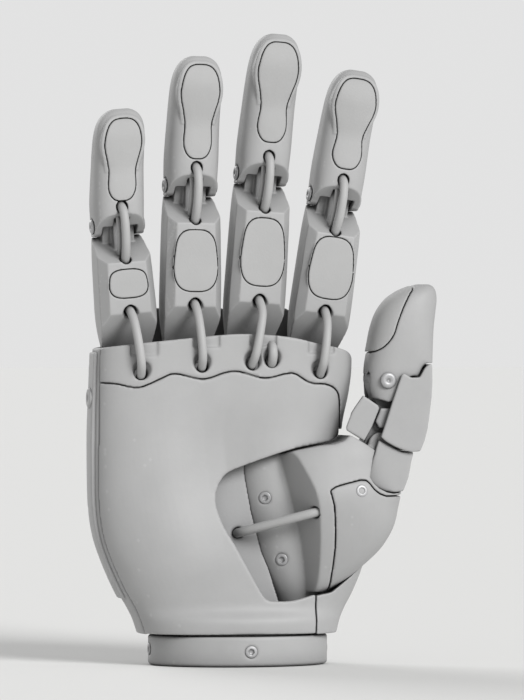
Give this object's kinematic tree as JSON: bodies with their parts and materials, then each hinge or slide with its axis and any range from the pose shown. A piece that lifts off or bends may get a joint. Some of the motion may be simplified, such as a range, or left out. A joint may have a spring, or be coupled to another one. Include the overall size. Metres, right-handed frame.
{
  "type": "prosthetic hand",
  "caption": "Right-hand prosthesis: hollow palm on an oval wrist cuff, tendon-driven jointed fingers with inlaid grip pads and a rotating thumb.",
  "frame": {"origin": "centre of the wrist cuff's lower face", "axes": "+Z from the wrist to the fingertips, -Y out of the palm side, +X towards the thumb"},
  "size_m": [0.1147, 0.046, 0.2054],
  "materials": {
    "shell": "fine matte grey plastic",
    "frame": "matte grey structural plastic",
    "pad": "matte grey soft grip pad",
    "steel": "satin grey metal",
    "cord": "matte grey sheathed tendon",
    "motor": "plain turned metal can"
  },
  "bodies": {
    "palm": {"back_shell": "shell", "index_knuckle_pin": "steel", "index_motor": "motor", "knuckle_band": "shell", "knuckle_frame": "frame", "little_knuckle_pin": "steel", "little_motor": "motor", "middle_knuckle_pin": "steel", "middle_motor": "motor", "palm_chassis": "frame", "palm_cover": "shell", "radial_wrist_cover": "shell", "ring_knuckle_pin": "steel", "ring_motor": "motor", "tendon_peg": "cord", "thenar_plate": "frame", "thumb_axle": "steel", "thumb_motor": "motor", "ulnar_rail": "shell", "wrist_cuff": "shell"},
    "little_proximal": {"little_proximal": "shell", "little_pad": "pad", "little_middle_pin": "steel", "little_knuckle_cord": "cord"},
    "little_distal": {"little_distal": "shell", "little_tip_pad": "pad", "little_middle_cord": "cord"},
    "ring_proximal": {"ring_proximal": "shell", "ring_pad": "pad", "ring_middle_pin": "steel", "ring_knuckle_cord": "cord"},
    "ring_distal": {"ring_distal": "shell", "ring_tip_pad": "pad", "ring_middle_cord": "cord"},
    "middle_proximal": {"middle_proximal": "shell", "middle_pad": "pad", "middle_middle_pin": "steel", "middle_knuckle_cord": "cord"},
    "middle_distal": {"middle_distal": "shell", "middle_tip_pad": "pad", "middle_middle_cord": "cord"},
    "index_proximal": {"index_proximal": "shell", "index_pad": "pad", "index_middle_pin": "steel", "index_knuckle_cord": "cord"},
    "index_distal": {"index_distal": "shell", "index_tip_pad": "pad", "index_middle_cord": "cord"},
    "thumb_base": {"thumb_base": "shell", "thumb_base_panel": "shell", "thumb_lower_cover": "shell", "thumb_lower_pin": "steel", "thumb_cord": "cord"},
    "thumb_proximal": {"thumb_frame": "frame", "thumb_block": "shell", "thumb_outer_cover": "shell", "thumb_upper_pin": "steel"},
    "thumb_distal": {"thumb_tip": "shell", "thumb_tip_pad": "pad"}
  },
  "joints": [
    {"name": "little_knuckle", "type": "hinge", "parent": "palm", "child": "little_proximal", "pos_m": [-0.03603, -0.00598, 0.10058], "axis": [0.9941, 0.0698, 0.0835], "range_deg": [0, 68], "deforming": ["little_knuckle_cord"]},
    {"name": "little_middle", "type": "hinge", "parent": "little_proximal", "child": "little_distal", "pos_m": [-0.04, 0, 0.1428], "axis": [0.9941, 0.0698, 0.0835], "range_deg": [0, 75], "deforming": ["little_middle_cord"]},
    {"name": "ring_knuckle", "type": "hinge", "parent": "palm", "child": "ring_proximal", "pos_m": [-0.01604, -0.00598, 0.1028], "axis": [0.9975, 0.0698, -0.0104], "range_deg": [0, 68], "deforming": ["ring_knuckle_cord"]},
    {"name": "ring_middle", "type": "hinge", "parent": "ring_proximal", "child": "ring_distal", "pos_m": [-0.0159, 0, 0.1557], "axis": [0.9975, 0.0698, -0.0104], "range_deg": [0, 75], "deforming": ["ring_middle_cord"]},
    {"name": "middle_knuckle", "type": "hinge", "parent": "palm", "child": "middle_proximal", "pos_m": [0.00454, -0.00598, 0.10409], "axis": [0.9954, 0.0698, -0.0661], "range_deg": [0, 68], "deforming": ["middle_knuckle_cord"]},
    {"name": "middle_middle", "type": "hinge", "parent": "middle_proximal", "child": "middle_distal", "pos_m": [0.0078, 0, 0.1595], "axis": [0.9954, 0.0698, -0.0661], "range_deg": [0, 75], "deforming": ["middle_middle_cord"]},
    {"name": "index_knuckle", "type": "hinge", "parent": "palm", "child": "index_proximal", "pos_m": [0.02541, -0.00598, 0.10075], "axis": [0.9879, 0.0698, -0.1388], "range_deg": [0, 68], "deforming": ["index_knuckle_cord"]},
    {"name": "index_middle", "type": "hinge", "parent": "index_proximal", "child": "index_distal", "pos_m": [0.0322, 0, 0.1521], "axis": [0.9879, 0.0698, -0.1388], "range_deg": [0, 75], "deforming": ["index_middle_cord"]},
    {"name": "thumb_rotation", "type": "hinge", "parent": "palm", "child": "thumb_base", "pos_m": [0.0138, 0.0029, 0.05], "axis": [-0.3, 0, 0.9539], "range_deg": [-40, 0], "deforming": ["thumb_cord"]},
    {"name": "thumb_lower", "type": "hinge", "parent": "thumb_base", "child": "thumb_proximal", "pos_m": [0.045, -0.008, 0.0709], "axis": [0, -1, 0], "range_deg": [-18, 0]},
    {"name": "thumb_upper", "type": "hinge", "parent": "thumb_proximal", "child": "thumb_distal", "pos_m": [0.0467, -0.008, 0.0923], "axis": [0, -1, 0], "range_deg": [0, 20]}
  ],
  "couplings": [
    {"joint": "little_middle", "follows": "little_knuckle", "ratio": 1.1},
    {"joint": "ring_middle", "follows": "ring_knuckle", "ratio": 1.1},
    {"joint": "middle_middle", "follows": "middle_knuckle", "ratio": 1.1},
    {"joint": "index_middle", "follows": "index_knuckle", "ratio": 1.1}
  ]
}
